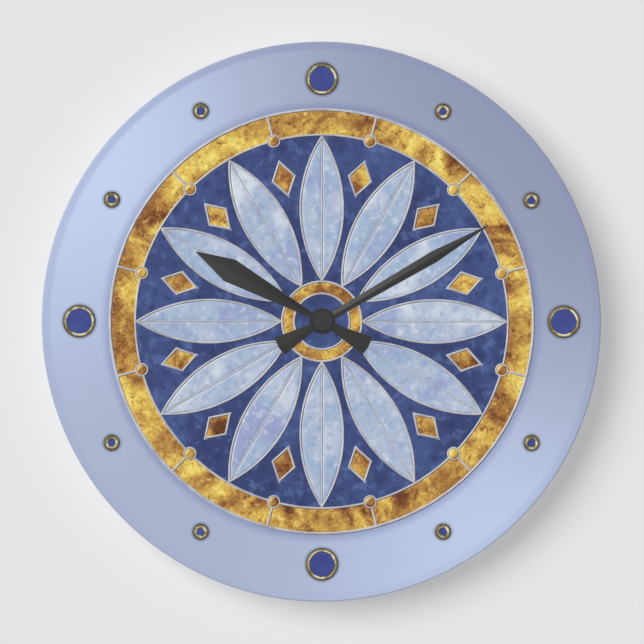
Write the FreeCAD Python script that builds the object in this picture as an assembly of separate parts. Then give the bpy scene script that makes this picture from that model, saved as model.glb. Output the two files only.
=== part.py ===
import FreeCAD, Part
import math
import os

# A round wall clock: a printed acrylic dial, a quartz movement behind it and two hands in front.
# The origin is on the hands' axis in the plane of the wall. The dial faces -Y, and Z is up.
# A depth is measured from the wall towards the viewer, so it lies at Y = -depth.
# Lengths are in millimetres, angles in degrees. A clock angle runs clockwise from 12.

# Dial and its printed film
dial_radius = 136.5
dial_thickness = 4.0
dial_chamfer = 0.5
print_thickness = 0.2
print_margin = 0.2

# Hour markers on the film, as shares of the dial's radius, and of the marker's for its centre
hour_count = 12
marker_circle_share = 0.8667
quarter_marker_share = 0.0586
quarter_centre_share = 0.75
small_marker_share = 0.0293
small_centre_share = 0.44

# Rosette on the film: a ring of panes, petals, lozenges, beads and a small round centre
medallion_share = 0.7619
rim_lead_width = 1.4
lead_width = 1.1
vein_width = 0.7
petal_count = 12
petal_tip_gap = 0.8
# These are shares of the rosette's radius
band_inner_share = 0.88
petal_inner_share = 0.1865
petal_width_share = 0.2115
lozenge_centre_share = 0.6923
lozenge_length_share = 0.1827
lozenge_width_share = 0.1202
bead_share = 0.025
roundel_share = 0.1923
roundel_hole_share = 0.125

# Hands
hour_hand_angle = 298.7
hour_hand_length = 70.2
hour_hand_root_width = 1.5
hour_hand_width = 11.9
hour_hand_widest = 51.6
hour_tail_length = 25.5
hour_tail_root_width = 2.2
hour_tail_width = 10.0
hour_hub_radius = 6.3
minute_hand_angle = 59.9
minute_hand_length = 93.4
minute_hand_root_width = 3.5
minute_hand_width = 5.8
minute_hand_widest = 63.0
minute_tail_length = 25.0
minute_tail_root_width = 2.2
minute_tail_width = 9.9
minute_hub_radius = 6.0
hand_tip_width = 0.5
hand_edge_thickness = 0.4
hand_ridge_thickness = 0.9
hub_thickness = 1.0
tail_bulge = 0.9
tail_waist = 0.25

# Cap nut on the minute hand
cap_radius = 5.3
cap_height = 2.6
cap_crown = 0.8
cap_thread_depth = 1.8

# Fixing of the dial
bracket_thickness = 1.0
bracket_width = 24.0
bracket_foot = 13.0
bracket_case_gap = 0.2
hanging_plate_height = 15.0
hanging_plate_corner = 4.0
hanging_hole_radius = 4.0
hanging_hole_rise = 5.6
hanging_slot_width = 3.6
hanging_slot_rise = 5.0
gasket_thickness = 1.0
gasket_radius = 11.0
washer_thickness = 0.5
washer_radius = 6.0
nut_thickness = 2.5
nut_across_flats = 10.4
nut_sides = 6
bushing_radius = 3.9
bushing_root_radius = 4.8
bushing_end = 0.4
bushing_chamfer = 0.3

# Movement case and its cover
case_side = 56.0
case_wall = 1.2
case_corner = 2.5
bay_top = -11.8
cover_thickness = 1.2
cover_gap = 0.1
cover_overlap = 0.6
hand_clearance = 0.4
hand_spacing = 1.0

# Fits
running_fit = 0.04
seat_fit = 0.05
end_play = 0.1
level_gap = 0.2
hole_fit = 0.2

# Arbors and pivots
seconds_arbor_radius = 0.50
minute_arbor_radius = 1.50
minute_thread_radius = 1.15
minute_flat_width = 2.2
hour_pipe_radius = 2.5
arbor_radius = 0.60
pivot_radius = 0.40
pivot_length = 0.7
setting_arbor_radius = 0.90
seconds_arbor_end = 2.0

# Gears: a tooth's height is a share of the module, its play is taken from each flank
pressure_angle = 28.0
addendum_share = 0.80
dedendum_share = 1.05
tooth_play = 0.045
flank_steps = 3
wheel_thickness = 1.0
hand_wheel_thickness = 1.2
pinion_overrun = 0.1

# Motion work from the minute arbor to the hour wheel, with the setting arbor between
cannon_teeth = 12
motion_wheel_teeth = 36
motion_pinion_teeth = 10
hour_wheel_teeth = 40
motion_distance = 11.0
motion_angle = 10.0

# Going train from the rotor to the centre wheel
rotor_pinion_teeth = 10
intermediate_wheel_teeth = 60
intermediate_pinion_teeth = 12
seconds_wheel_teeth = 60
seconds_pinion_teeth = 8
third_wheel_teeth = 60
third_pinion_teeth = 8
centre_wheel_teeth = 64
rotor_distance = 8.75
rotor_angle = 45.0
intermediate_distance = 10.4
intermediate_angle = 80.0
third_distance = 10.2
third_angle = 150.0
clutch_thickness = 0.2
clutch_radius = 4.2
flange_radius = 2.2

# Bridge that carries the rear pivots, its pillars and screws
bridge_back = 2.0
bridge_thickness = 1.0
pillar_radius = 1.6
screw_radius = 0.8
screw_length = 4.0
screw_head_radius = 1.5
screw_head_height = 0.7
screw_slot_width = 0.4
screw_slot_depth = 0.3
bridge_pillar_left = (-20.5, 4.2)
bridge_pillar_low_left = (-13.0, -8.4)
bridge_pillar_low_right = (14.0, -8.2)
bridge_pillar_right = (18.5, 10.6)
bridge_rim = 2.2
web_width_share = 0.8

# Stepping motor
magnet_radius = 2.6
magnet_height = 2.2
rotor_air_gap = 0.5
stator_back = 3.6
stator_thickness = 1.8
stator_wheel_gap = 1.0
stator_left = -12.0
stator_right = 22.0
stator_low = 12.9
stator_high = 19.8
stator_leg_width = 4.0
stator_leg_top = 25.6
rotor_post_radius = 1.5
coil_height = 23.4
coil_radius = 2.9
coil_end_gap = 0.4
bobbin_flange_radius = 3.1
bobbin_flange_thickness = 0.7
bobbin_tube_radius = 1.7
core_thickness = 1.2
core_width = 2.2

# Circuit board and what is on it
board_left = 15.2
board_right = 26.3
board_low = -6.0
board_high = 8.6
board_back = 4.2
board_thickness = 0.8
board_post_radius = 1.2
board_post_low = (24.5, -4.4)
board_post_high = (24.5, 7.0)
chip_radius = 2.2
chip_height = 1.1
chip_top_share = 0.7
chip_place = (18.6, 1.2)
crystal_radius = 1.0
crystal_length = 6.0
crystal_place = (23.4, -3.6)

# Battery and its contacts
battery_radius = 7.25
battery_length = 50.5
battery_front_gap = 0.05
battery_height = -19.3
battery_button_radius = 2.75
battery_button_length = 1.1
sleeve_thickness = 0.2
sleeve_margin = 0.8
sleeve_fit = 0.02
contact_thickness = 0.3
contact_height = 11.0
contact_width = 9.0
contact_touch_gap = 0.1
contact_boss_radius = 3.0
contact_boss_tip_radius = 1.6
strip_back = 4.6
strip_width = 2.0
strip_slot_gap = 0.1
positive_tab_low = 1.0
positive_tab_width = 2.4
positive_tab_reach = 1.4
negative_tab_left = 20.4
negative_tab_width = 2.4
negative_tab_rise = 1.6

# Setting knob
knob_radius = 4.6
knob_gap = 0.4
knob_recess = 0.3
knob_thickness = 1.1
knob_groove_count = 18
knob_groove_radius = 0.35

# Depths of the movement's stack, from the stator to the case's front
stator_front = stator_back + stator_thickness
intermediate_wheel_back = stator_front + stator_wheel_gap
intermediate_wheel_front = intermediate_wheel_back + wheel_thickness
seconds_wheel_back = intermediate_wheel_front + 2 * level_gap
seconds_wheel_front = seconds_wheel_back + wheel_thickness
third_wheel_back = seconds_wheel_front + 2 * level_gap
third_wheel_front = third_wheel_back + wheel_thickness
flange_back = third_wheel_front + level_gap
flange_front = flange_back + clutch_thickness
centre_wheel_back = flange_front + end_play
centre_wheel_front = centre_wheel_back + wheel_thickness
clutch_back = centre_wheel_front + end_play
cannon_back = clutch_back + clutch_thickness
cannon_front = cannon_back + hand_wheel_thickness
hour_wheel_back = cannon_front + level_gap
hour_wheel_front = hour_wheel_back + hand_wheel_thickness
inner_front = hour_wheel_front + level_gap
case_depth = inner_front + case_wall
battery_depth = inner_front - battery_front_gap - battery_radius

# Depths from the case to the cap nut
dial_back = case_depth + bracket_thickness + gasket_thickness
dial_front = dial_back + dial_thickness
print_front = dial_front + print_thickness
washer_front = print_front + washer_thickness
nut_front = washer_front + nut_thickness
bushing_front = nut_front + bushing_end
hour_hand_back = bushing_front + hand_clearance
hour_hub_front = hour_hand_back + hub_thickness
minute_hand_back = hour_hub_front + hand_spacing
minute_hub_front = minute_hand_back + hub_thickness
cap_front = minute_hub_front + cap_height

# Depths of the posts, pivots and board
rotor_post_back = intermediate_wheel_front + pinion_overrun + 2 * level_gap
bridge_front = bridge_back + bridge_thickness
arbor_back = bridge_front + end_play - pivot_length
arbor_front = inner_front - end_play + pivot_length
coil_depth = stator_front + core_thickness / 2
board_front = board_back + board_thickness

# Sizes of the film that follow from the dial's
marker_circle_radius = dial_radius * marker_circle_share
quarter_marker_radius = dial_radius * quarter_marker_share
quarter_centre_radius = quarter_marker_radius * quarter_centre_share
small_marker_radius = dial_radius * small_marker_share
small_centre_radius = small_marker_radius * small_centre_share
medallion_radius = dial_radius * medallion_share
band_inner_radius = medallion_radius * band_inner_share
petal_inner_radius = medallion_radius * petal_inner_share
petal_outer_radius = band_inner_radius - petal_tip_gap
petal_width = medallion_radius * petal_width_share
lozenge_centre_radius = medallion_radius * lozenge_centre_share
lozenge_length = medallion_radius * lozenge_length_share
lozenge_width = medallion_radius * lozenge_width_share
bead_radius = medallion_radius * bead_share
roundel_radius = medallion_radius * roundel_share
roundel_hole_radius = medallion_radius * roundel_hole_share

# Radii and heights that follow
bushing_bore_radius = hour_pipe_radius + running_fit
shaft_hole_radius = bushing_radius + hole_fit
case_half = case_side / 2
case_inner = case_half - case_wall
chamber_floor = bay_top + case_wall
coil_left = stator_left + stator_leg_width + coil_end_gap
coil_right = stator_right - stator_leg_width - coil_end_gap
battery_left = -battery_length / 2
battery_tip = battery_length / 2
battery_body_right = battery_tip - battery_button_length
magnet_back = (stator_back + stator_front - magnet_height) / 2
magnet_front = magnet_back + magnet_height

OUT = "parts"
FORWARD = FreeCAD.Vector(0, -1, 0)
CLOCK_AXIS = FreeCAD.Vector(0, 1, 0)
ORIGIN = FreeCAD.Vector(0, 0, 0)


def point(x, depth, z):
    return FreeCAD.Vector(x, -depth, z)


def polar(distance, degrees, start=(0, 0)):
    """The place at this distance and angle, from +X towards +Z, from a start."""
    turn = math.radians(degrees)
    return (start[0] + distance * math.cos(turn), start[1] + distance * math.sin(turn))


def turned(shape, degrees):
    """A copy turned clockwise about the hands' axis."""
    copy = shape.copy()
    copy.rotate(ORIGIN, CLOCK_AXIS, degrees)
    return copy


def disc(radius, back, front, place=(0, 0)):
    return Part.makeCylinder(radius, front - back, point(place[0], back, place[1]), FORWARD)


def ring(radius, hole_radius, back, front, place=(0, 0)):
    return disc(radius, back, front, place).cut(disc(hole_radius, back, front, place))


def block(left, right, low, high, back, front):
    corner = point(left, front, low)
    return Part.makeBox(right - left, front - back, high - low, corner)


def prism(edges, back, front):
    """The solid between two depths whose outline is these edges, drawn at the back."""
    face = Part.Face(Part.Wire(edges))
    solid = face.extrude(FORWARD * (front - back))
    solid.translate(point(0, back, 0))
    return solid


def polygon(corners, back, front):
    path = [point(x, 0, z) for x, z in corners]
    return prism(Part.makePolygon(path + path[:1]).Edges, back, front)


def line(start, end):
    return Part.LineSegment(point(start[0], 0, start[1]), point(end[0], 0, end[1])).toShape()


def arc(start, middle, end):
    points = [point(x, 0, z) for x, z in (start, middle, end)]
    return Part.Arc(*points).toShape()


def fused(shapes):
    """The shapes as one solid, with the faces that lie in one surface joined."""
    whole = shapes[0].fuse(shapes[1:]) if len(shapes) > 1 else shapes[0]
    return whole.removeSplitter()


def cut_all(shape, tools):
    return shape.cut(tools) if tools else shape


def group(shapes):
    """The separate solids of these shapes, as one compound."""
    return Part.makeCompound([solid for shape in shapes for solid in shape.Solids])


def chamfered_disc(radius, chamfer, back, front, both=True):
    """A disc whose front edge, and the back one too if both is true, has a chamfer."""
    low = chamfer if both else 0
    outline = [(0, back), (radius - low, back), (radius, back + low), (radius, front - chamfer),
               (radius - chamfer, front), (0, front), (0, back)]
    face = Part.Face(Part.makePolygon([point(x, depth, 0) for x, depth in outline]))
    return face.revolve(ORIGIN, CLOCK_AXIS, 360)


# Gears

def involute(angle):
    return math.tan(angle) - angle


def gear(teeth, module, tooth_angle, back, front, place=(0, 0)):
    """A spur gear with one tooth's middle at tooth_angle, from +X towards +Z."""
    pressure = math.radians(pressure_angle)
    pitch_radius = module * teeth / 2
    base_radius = pitch_radius * math.cos(pressure)
    tip_radius = pitch_radius + addendum_share * module
    root_radius = pitch_radius - dedendum_share * module
    widest = math.pi / (2 * teeth) - tooth_play / pitch_radius + involute(pressure)
    start_radius = max(root_radius, base_radius)
    rise = (tip_radius - start_radius) / flank_steps
    radii = [start_radius + rise * step for step in range(flank_steps + 1)]
    if root_radius < start_radius:
        radii.insert(0, root_radius)
    flank = []
    for radius in radii:
        lean = involute(math.acos(min(1, base_radius / radius)))
        flank.append((radius, math.degrees(widest - lean)))
    corners = []
    for tooth in range(teeth):
        middle = tooth_angle + tooth * 360 / teeth
        corners += [polar(radius, middle - half, place) for radius, half in flank]
        corners += [polar(radius, middle + half, place) for radius, half in reversed(flank)]
    return polygon(corners, back, front)


def module_of(distance, teeth, other_teeth):
    return 2 * distance / (teeth + other_teeth)


def facing(line_angle, teeth):
    """The tooth angle of a gear whose gap takes the tooth that points along line_angle."""
    return line_angle + 180 + 180 / teeth


motion_place = polar(motion_distance, motion_angle)
intermediate_place = polar(intermediate_distance, intermediate_angle)
rotor_place = polar(rotor_distance, rotor_angle, intermediate_place)
third_place = polar(third_distance, third_angle)

cannon_module = module_of(motion_distance, cannon_teeth, motion_wheel_teeth)
hour_module = module_of(motion_distance, motion_pinion_teeth, hour_wheel_teeth)
rotor_module = module_of(rotor_distance, rotor_pinion_teeth, intermediate_wheel_teeth)
seconds_module = module_of(intermediate_distance, intermediate_pinion_teeth, seconds_wheel_teeth)
third_module = module_of(third_distance, seconds_pinion_teeth, third_wheel_teeth)
centre_module = module_of(third_distance, third_pinion_teeth, centre_wheel_teeth)


def arbor(radius, back, front, place):
    """A shaft with a thinner pivot at each end, from the bridge to the case front."""
    body = disc(radius, back + pivot_length, front - pivot_length, place)
    return fused([body, disc(pivot_radius, back, front, place)])


def rotor_pinion():
    """The rotor's shaft and pinion, moulded in one."""
    back = magnet_front
    teeth = gear(rotor_pinion_teeth, rotor_module, rotor_angle + 180, back,
                 intermediate_wheel_front + pinion_overrun, rotor_place)
    shaft = arbor(arbor_radius, arbor_back, rotor_post_back + pivot_length - end_play, rotor_place)
    return fused([teeth, shaft])


def rotor_magnet():
    return ring(magnet_radius, arbor_radius, magnet_back, magnet_front, rotor_place)


def intermediate_wheel():
    wheel = gear(intermediate_wheel_teeth, rotor_module, facing(rotor_angle + 180, intermediate_wheel_teeth),
                 intermediate_wheel_back, intermediate_wheel_front, intermediate_place)
    pinion = gear(intermediate_pinion_teeth, seconds_module, intermediate_angle + 180,
                  intermediate_wheel_front, seconds_wheel_front + pinion_overrun, intermediate_place)
    return fused([wheel, pinion, arbor(arbor_radius, arbor_back, arbor_front, intermediate_place)])


def seconds_wheel():
    """The wheel that turns once a minute, with its pinion. Its shaft ends inside the minute arbor."""
    wheel = gear(seconds_wheel_teeth, seconds_module, facing(intermediate_angle + 180, seconds_wheel_teeth),
                 seconds_wheel_back, seconds_wheel_front)
    pinion = gear(seconds_pinion_teeth, third_module, third_angle,
                  seconds_wheel_front, third_wheel_front + pinion_overrun)
    shoulder = disc(arbor_radius, arbor_back + pivot_length, seconds_wheel_back)
    shaft = disc(seconds_arbor_radius, seconds_wheel_back, minute_hand_back - seconds_arbor_end)
    pivot = disc(pivot_radius, arbor_back, seconds_wheel_back)
    return fused([wheel, pinion, shoulder, shaft, pivot])


def third_wheel():
    wheel = gear(third_wheel_teeth, third_module, facing(third_angle, third_wheel_teeth),
                 third_wheel_back, third_wheel_front, third_place)
    pinion = gear(third_pinion_teeth, centre_module, third_angle + 180,
                  third_wheel_front, centre_wheel_front + pinion_overrun, third_place)
    return fused([wheel, pinion, arbor(arbor_radius, arbor_back, arbor_front, third_place)])


def centre_wheel():
    """It runs loose on the minute arbor, and drives it by the clutch washer."""
    wheel = gear(centre_wheel_teeth, centre_module, facing(third_angle + 180, centre_wheel_teeth),
                 centre_wheel_back, centre_wheel_front)
    return wheel.cut(disc(minute_arbor_radius + running_fit, centre_wheel_back, centre_wheel_front))


def clutch_washer():
    return ring(clutch_radius, minute_arbor_radius, clutch_back, cannon_back)


def minute_arbor():
    """A hollow arbor with the cannon pinion, a rear flange, two flats for the hand and a threaded end."""
    flange = disc(flange_radius, flange_back, flange_front)
    tube = disc(minute_arbor_radius, flange_back, minute_hand_back)
    cannon = gear(cannon_teeth, cannon_module, motion_angle, cannon_back, cannon_front)
    thread = disc(minute_thread_radius, minute_hub_front, minute_hub_front + cap_thread_depth - end_play)
    seat = turned(hand_flats(minute_hand_back, minute_hub_front), minute_hand_angle)
    whole = fused([flange, tube, cannon, seat, thread])
    bore = disc(seconds_arbor_radius + running_fit, flange_back, minute_hand_back)
    return whole.cut(bore)


def hand_flats(back, front):
    """The part of the minute arbor that the hand is pushed on, with a flat on two sides."""
    half = minute_flat_width / 2
    return disc(minute_arbor_radius, back, front).common(
        block(-half, half, -minute_arbor_radius, minute_arbor_radius, back, front))


def motion_wheel():
    """The motion wheel and pinion on the setting arbor, which ends in the knob."""
    wheel = gear(motion_wheel_teeth, cannon_module, facing(motion_angle, motion_wheel_teeth),
                 cannon_back, cannon_front, motion_place)
    pinion = gear(motion_pinion_teeth, hour_module, motion_angle + 180,
                  cannon_front, hour_wheel_front, motion_place)
    shaft = disc(setting_arbor_radius, knob_recess + knob_thickness / 2, cannon_back, motion_place)
    pivot = disc(pivot_radius, cannon_back, arbor_front, motion_place)
    return fused([wheel, pinion, shaft, pivot])


def hour_wheel():
    """The hour wheel with the pipe that carries the hour hand."""
    wheel = gear(hour_wheel_teeth, hour_module, facing(motion_angle + 180, hour_wheel_teeth),
                 hour_wheel_back, hour_wheel_front)
    pipe = disc(hour_pipe_radius, hour_wheel_front, hour_hub_front + level_gap)
    bore = disc(minute_arbor_radius + running_fit, hour_wheel_back, hour_hub_front + level_gap)
    return fused([wheel, pipe]).cut(bore)


def setting_knob():
    """A round knob with a grooved edge, flush in the cover."""
    back = knob_recess
    front = knob_recess + knob_thickness
    knob = disc(knob_radius, back, front, motion_place)
    grooves = []
    for index in range(knob_groove_count):
        place = polar(knob_radius, index * 360 / knob_groove_count, motion_place)
        grooves.append(disc(knob_groove_radius, back, front, place))
    socket = disc(setting_arbor_radius, back + knob_thickness / 2, front, motion_place)
    return knob.cut(grooves + [socket])


# Movement case, bridge and screws

def rounded_block(half, low, high, corner, back, front):
    """A block with round corners, as wide as half on each side of the middle."""
    mid = corner * (1 - math.sqrt(0.5))
    left, right = -half, half
    edges = []
    corners = ((right, high, -1, -1), (right, low, -1, 1), (left, low, 1, 1), (left, high, 1, -1))
    ends = []
    for number, (x, z, inward_x, inward_z) in enumerate(corners):
        side = (x, z + inward_z * corner)
        flat = (x + inward_x * corner, z)
        first, last = (flat, side) if number % 2 == 0 else (side, flat)
        ends.append((first, (x + inward_x * mid, z + inward_z * mid), last))
    for number, (first, middle, last) in enumerate(ends):
        edges.append(arc(first, middle, last))
        edges.append(line(last, ends[(number + 1) % len(ends)][0]))
    return prism(edges, back, front)


def bridge_pillars():
    return (bridge_pillar_left, bridge_pillar_low_left, bridge_pillar_low_right, bridge_pillar_right)


def stator_pillars():
    height = (stator_low + stator_high) / 2
    return ((stator_left + stator_leg_width / 2, height), (stator_right - stator_leg_width / 2, height))


def movement_case():
    """The tray that holds the works and the battery, with pillars and bearing holes."""
    shell = rounded_block(case_half, -case_half, case_half, case_corner, 0, case_depth)
    cover_room = block(-case_half, case_half, bay_top + cover_overlap, case_half, 0, cover_thickness)
    chamber = block(-case_inner, case_inner, chamber_floor, case_inner, 0, inner_front)
    bay = block(-case_inner, case_inner, -case_inner, bay_top, 0, inner_front)
    bushing_hole = disc(bushing_root_radius + seat_fit, inner_front, case_depth)
    notches = [strip_notch(side) for side in (-1, 1)]
    tray = shell.cut([cover_room, chamber, bay, bushing_hole] + notches)
    posts = [disc(pillar_radius, bridge_front, inner_front, place) for place in bridge_pillars()]
    posts += [disc(pillar_radius, stator_front, inner_front, place) for place in stator_pillars()]
    posts += [disc(board_post_radius, board_front, inner_front, place)
              for place in (board_post_low, board_post_high)]
    posts.append(disc(rotor_post_radius, rotor_post_back, inner_front, rotor_place))
    holes = [disc(pivot_radius + running_fit, inner_front, inner_front + pivot_length, place)
             for place in (intermediate_place, third_place, motion_place)]
    rotor_hole_front = rotor_post_back + pivot_length
    holes.append(disc(pivot_radius + running_fit, rotor_post_back, rotor_hole_front, rotor_place))
    holes += [disc(screw_radius, bridge_front, screw_tip(bridge_back), place) for place in bridge_pillars()]
    holes += [disc(screw_radius, stator_front, screw_tip(stator_back), place) for place in stator_pillars()]
    return fused([tray] + posts).cut(holes)


def strip_notch(side):
    """The slot in the wall between the bay and the works that a contact's strip passes."""
    near = case_inner - contact_thickness - strip_slot_gap
    left, right = sorted((side * near, side * case_inner))
    back = strip_back - strip_slot_gap
    return block(left, right, bay_top, chamber_floor, back, strip_back + strip_width + strip_slot_gap)


def movement_back_cover():
    """The flat lid over the works. Its middle is the face that rests on the wall."""
    slab = rounded_block(case_half, -case_half, case_half, case_corner, 0, cover_thickness)
    low = bay_top + cover_overlap + cover_gap
    lid = slab.common(block(-case_half, case_half, low, case_half, 0, cover_thickness))
    return lid.cut(disc(knob_radius + knob_gap, 0, cover_thickness, motion_place))


def train_bridge():
    """The plate behind the wheels: a disc round each pillar and pivot, joined by straight webs."""
    places = bridge_pillars() + (rotor_place, intermediate_place, third_place, motion_place, (0, 0))
    pads = [disc(bridge_rim, bridge_back, bridge_front, place) for place in places]
    links = ((0, 6), (0, 1), (1, 6), (1, 2), (6, 8), (1, 8), (2, 8), (8, 5), (6, 5), (5, 4), (4, 3),
             (7, 3), (7, 8), (7, 2), (7, 5))
    webs = [web(places[first], places[last]) for first, last in links]
    holes = [disc(pivot_radius + running_fit, bridge_back, bridge_front, place)
             for place in (rotor_place, intermediate_place, third_place, (0, 0))]
    holes.append(disc(setting_arbor_radius + running_fit, bridge_back, bridge_front, motion_place))
    holes += [disc(screw_radius, bridge_back, bridge_front, place) for place in bridge_pillars()]
    return fused(pads + webs).cut(holes)


def web(start, end):
    """A straight bar of the bridge between two places."""
    length = math.hypot(end[0] - start[0], end[1] - start[1])
    side = ((start[1] - end[1]) / length, (end[0] - start[0]) / length)
    half = bridge_rim * web_width_share
    corners = [(start[0] + side[0] * half, start[1] + side[1] * half),
               (end[0] + side[0] * half, end[1] + side[1] * half),
               (end[0] - side[0] * half, end[1] - side[1] * half),
               (start[0] - side[0] * half, start[1] - side[1] * half)]
    return polygon(corners, bridge_back, bridge_front)


def screw_tip(seat):
    return seat + screw_length


def screw(seat, place):
    """A slotted screw whose head rests on a seat at this depth, pointing to the front."""
    head = disc(screw_head_radius, seat - screw_head_height, seat, place)
    shank = disc(screw_radius, seat, screw_tip(seat), place)
    half = screw_slot_width / 2
    head_back = seat - screw_head_height
    slot = block(place[0] - screw_head_radius, place[0] + screw_head_radius, place[1] - half, place[1] + half,
                 head_back, head_back + screw_slot_depth)
    return fused([head, shank]).cut(slot)


def movement_screws():
    screws = [screw(bridge_back, place) for place in bridge_pillars()]
    screws += [screw(stator_back, place) for place in stator_pillars()]
    return group(screws)


# Motor and electronics

def stator_plate():
    """The iron yoke round the rotor, with a leg at each end for the coil's core."""
    bar = block(stator_left, stator_right, stator_low, stator_high, stator_back, stator_front)
    legs = [block(left, left + stator_leg_width, stator_high, stator_leg_top, stator_back, stator_front)
            for left in (stator_left, stator_right - stator_leg_width)]
    holes = [disc(magnet_radius + rotor_air_gap, stator_back, stator_front, rotor_place)]
    holes += [disc(screw_radius, stator_back, stator_front, place) for place in stator_pillars()]
    return fused([bar] + legs).cut(holes)


def coil_core():
    """The flat iron core on the yoke's legs, through the coil."""
    half = core_width / 2
    return block(stator_left, stator_right, coil_height - half, coil_height + half,
                 stator_front, stator_front + core_thickness)


def along_x(radius, left, right, depth, height):
    return Part.makeCylinder(radius, right - left, point(left, depth, height), FreeCAD.Vector(1, 0, 0))


def coil_bobbin():
    """The plastic spool: a tube with a round flange at each end."""
    flanges = [along_x(bobbin_flange_radius, left, left + bobbin_flange_thickness, coil_depth, coil_height)
               for left in (coil_left, coil_right - bobbin_flange_thickness)]
    tube = along_x(bobbin_tube_radius, coil_left, coil_right, coil_depth, coil_height)
    half = core_width / 2 + seat_fit
    room = block(coil_left, coil_right, coil_height - half, coil_height + half,
                 stator_front - seat_fit, stator_front + core_thickness + seat_fit)
    return fused(flanges + [tube]).cut(room)


def coil_winding():
    left = coil_left + bobbin_flange_thickness
    right = coil_right - bobbin_flange_thickness
    wire = along_x(coil_radius, left, right, coil_depth, coil_height)
    return wire.cut(along_x(bobbin_tube_radius, left, right, coil_depth, coil_height))


def circuit_board():
    return block(board_left, board_right, board_low, board_high, board_back, board_front)


def control_chip():
    """The round drop of resin over the chip, with a domed front."""
    low = disc(chip_radius, board_front, board_front + chip_height / 2, chip_place)
    base = point(chip_place[0], board_front + chip_height / 2, chip_place[1])
    top = Part.makeCone(chip_radius, chip_radius * chip_top_share, chip_height / 2, base, FORWARD)
    return fused([low, top])


def quartz_crystal():
    """The crystal's small can, which lies on the back of the board."""
    base = point(crystal_place[0], board_back - crystal_radius, crystal_place[1])
    return Part.makeCylinder(crystal_radius, crystal_length, base, FreeCAD.Vector(0, 0, 1))


def contact(side, touch):
    """A contact plate on an end wall, with a boss that reaches to the battery, and a strip up the wall."""
    wall = side * case_inner
    face = side * (case_inner - contact_thickness)
    left, right = sorted((wall, face))
    half = contact_height / 2
    plate_back = battery_depth - contact_width / 2
    plate = block(left, right, battery_height - half, battery_height + half,
                  plate_back, plate_back + contact_width)
    base = point(face, battery_depth, battery_height)
    reach = abs(face - touch) - contact_touch_gap
    towards_cell = FreeCAD.Vector(-side, 0, 0)
    boss = Part.makeCone(contact_boss_radius, contact_boss_tip_radius, reach, base, towards_cell)
    return [plate, boss], left, right


def battery_contact_positive():
    pieces, left, right = contact(1, battery_tip)
    top = positive_tab_low + positive_tab_width
    strip = block(left, right, battery_height, top, strip_back, strip_back + strip_width)
    tab_front = board_front + contact_thickness
    tab = block(left - positive_tab_reach, left, positive_tab_low, top, board_front, tab_front)
    return fused(pieces + [strip, tab])


def battery_contact_negative():
    pieces, left, right = contact(-1, battery_left)
    top = chamber_floor + contact_thickness
    end = negative_tab_left + negative_tab_width
    rise = block(left, right, battery_height, top, strip_back, strip_back + strip_width)
    run = block(left, end, chamber_floor, top, strip_back, strip_back + strip_width)
    tab = block(negative_tab_left, end, chamber_floor, board_low + negative_tab_rise,
                board_front, board_front + contact_thickness)
    return fused(pieces + [rise, run, tab])


def battery_cell():
    """The metal can with its button, inside the sleeve."""
    can = along_x(battery_radius - sleeve_thickness - sleeve_fit, battery_left, battery_body_right,
                  battery_depth, battery_height)
    button = along_x(battery_button_radius, battery_body_right, battery_tip, battery_depth, battery_height)
    return fused([can, button])


def battery_sleeve():
    left = battery_left + sleeve_margin
    right = battery_body_right - sleeve_margin
    outside = along_x(battery_radius, left, right, battery_depth, battery_height)
    return outside.cut(along_x(battery_radius - sleeve_thickness, left, right, battery_depth, battery_height))


# Fixing

def threaded_bushing():
    root = disc(bushing_root_radius, inner_front, case_depth)
    shank = chamfered_disc(bushing_radius, bushing_chamfer, inner_front, bushing_front, False)
    return fused([root, shank]).cut(disc(bushing_bore_radius, inner_front, bushing_front))


def hanger_bracket():
    """A steel strip clamped in front of the case, bent back over its top to a keyhole plate by the wall."""
    half = bracket_width / 2
    shelf_low = case_half + bracket_case_gap
    shelf_high = shelf_low + bracket_thickness
    front_plate = block(-half, half, -bracket_foot, shelf_high, case_depth, case_depth + bracket_thickness)
    shelf = block(-half, half, shelf_low, shelf_high, 0, case_depth + bracket_thickness)
    top = shelf_low + hanging_plate_height
    plate = rounded_block(half, shelf_low - hanging_plate_corner, top, hanging_plate_corner,
                          0, bracket_thickness)
    plate = plate.common(block(-half, half, shelf_low, top, 0, bracket_thickness))
    hole_height = shelf_high + hanging_hole_rise
    slot_half = hanging_slot_width / 2
    slot_top = hole_height + hanging_slot_rise
    keyhole = [disc(hanging_hole_radius, 0, bracket_thickness, (0, hole_height)),
               block(-slot_half, slot_half, hole_height, slot_top, 0, bracket_thickness),
               disc(slot_half, 0, bracket_thickness, (0, slot_top))]
    shaft = disc(shaft_hole_radius, case_depth, case_depth + bracket_thickness)
    return fused([front_plate, shelf, plate]).cut(keyhole + [shaft])


def rubber_gasket():
    return ring(gasket_radius, shaft_hole_radius, case_depth + bracket_thickness, dial_back)


def dial_washer():
    return ring(washer_radius, shaft_hole_radius, print_front, washer_front)


def dial_nut():
    corner_radius = nut_across_flats / (2 * math.cos(math.pi / nut_sides))
    corners = [polar(corner_radius, index * 360 / nut_sides) for index in range(nut_sides)]
    hexagon = polygon(corners, washer_front, nut_front)
    return hexagon.cut(disc(bushing_radius + seat_fit, washer_front, nut_front))


# Dial and its film

def dial_disc():
    plate = chamfered_disc(dial_radius, dial_chamfer, dial_back, dial_front)
    return plate.cut(disc(shaft_hole_radius, dial_back, dial_front))


def film_disc(radius, place=(0, 0)):
    return disc(radius, dial_front, print_front, place)


def film_ring(radius, hole_radius, place=(0, 0)):
    return film_disc(radius, place).cut(film_disc(hole_radius, place))


def each_hour(large, small):
    """The place of each hour marker, with the first size at the quarters and the second between."""
    for index in range(hour_count):
        place = polar(marker_circle_radius, index * 360 / hour_count)
        yield (large if index % 3 == 0 else small), place


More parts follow.
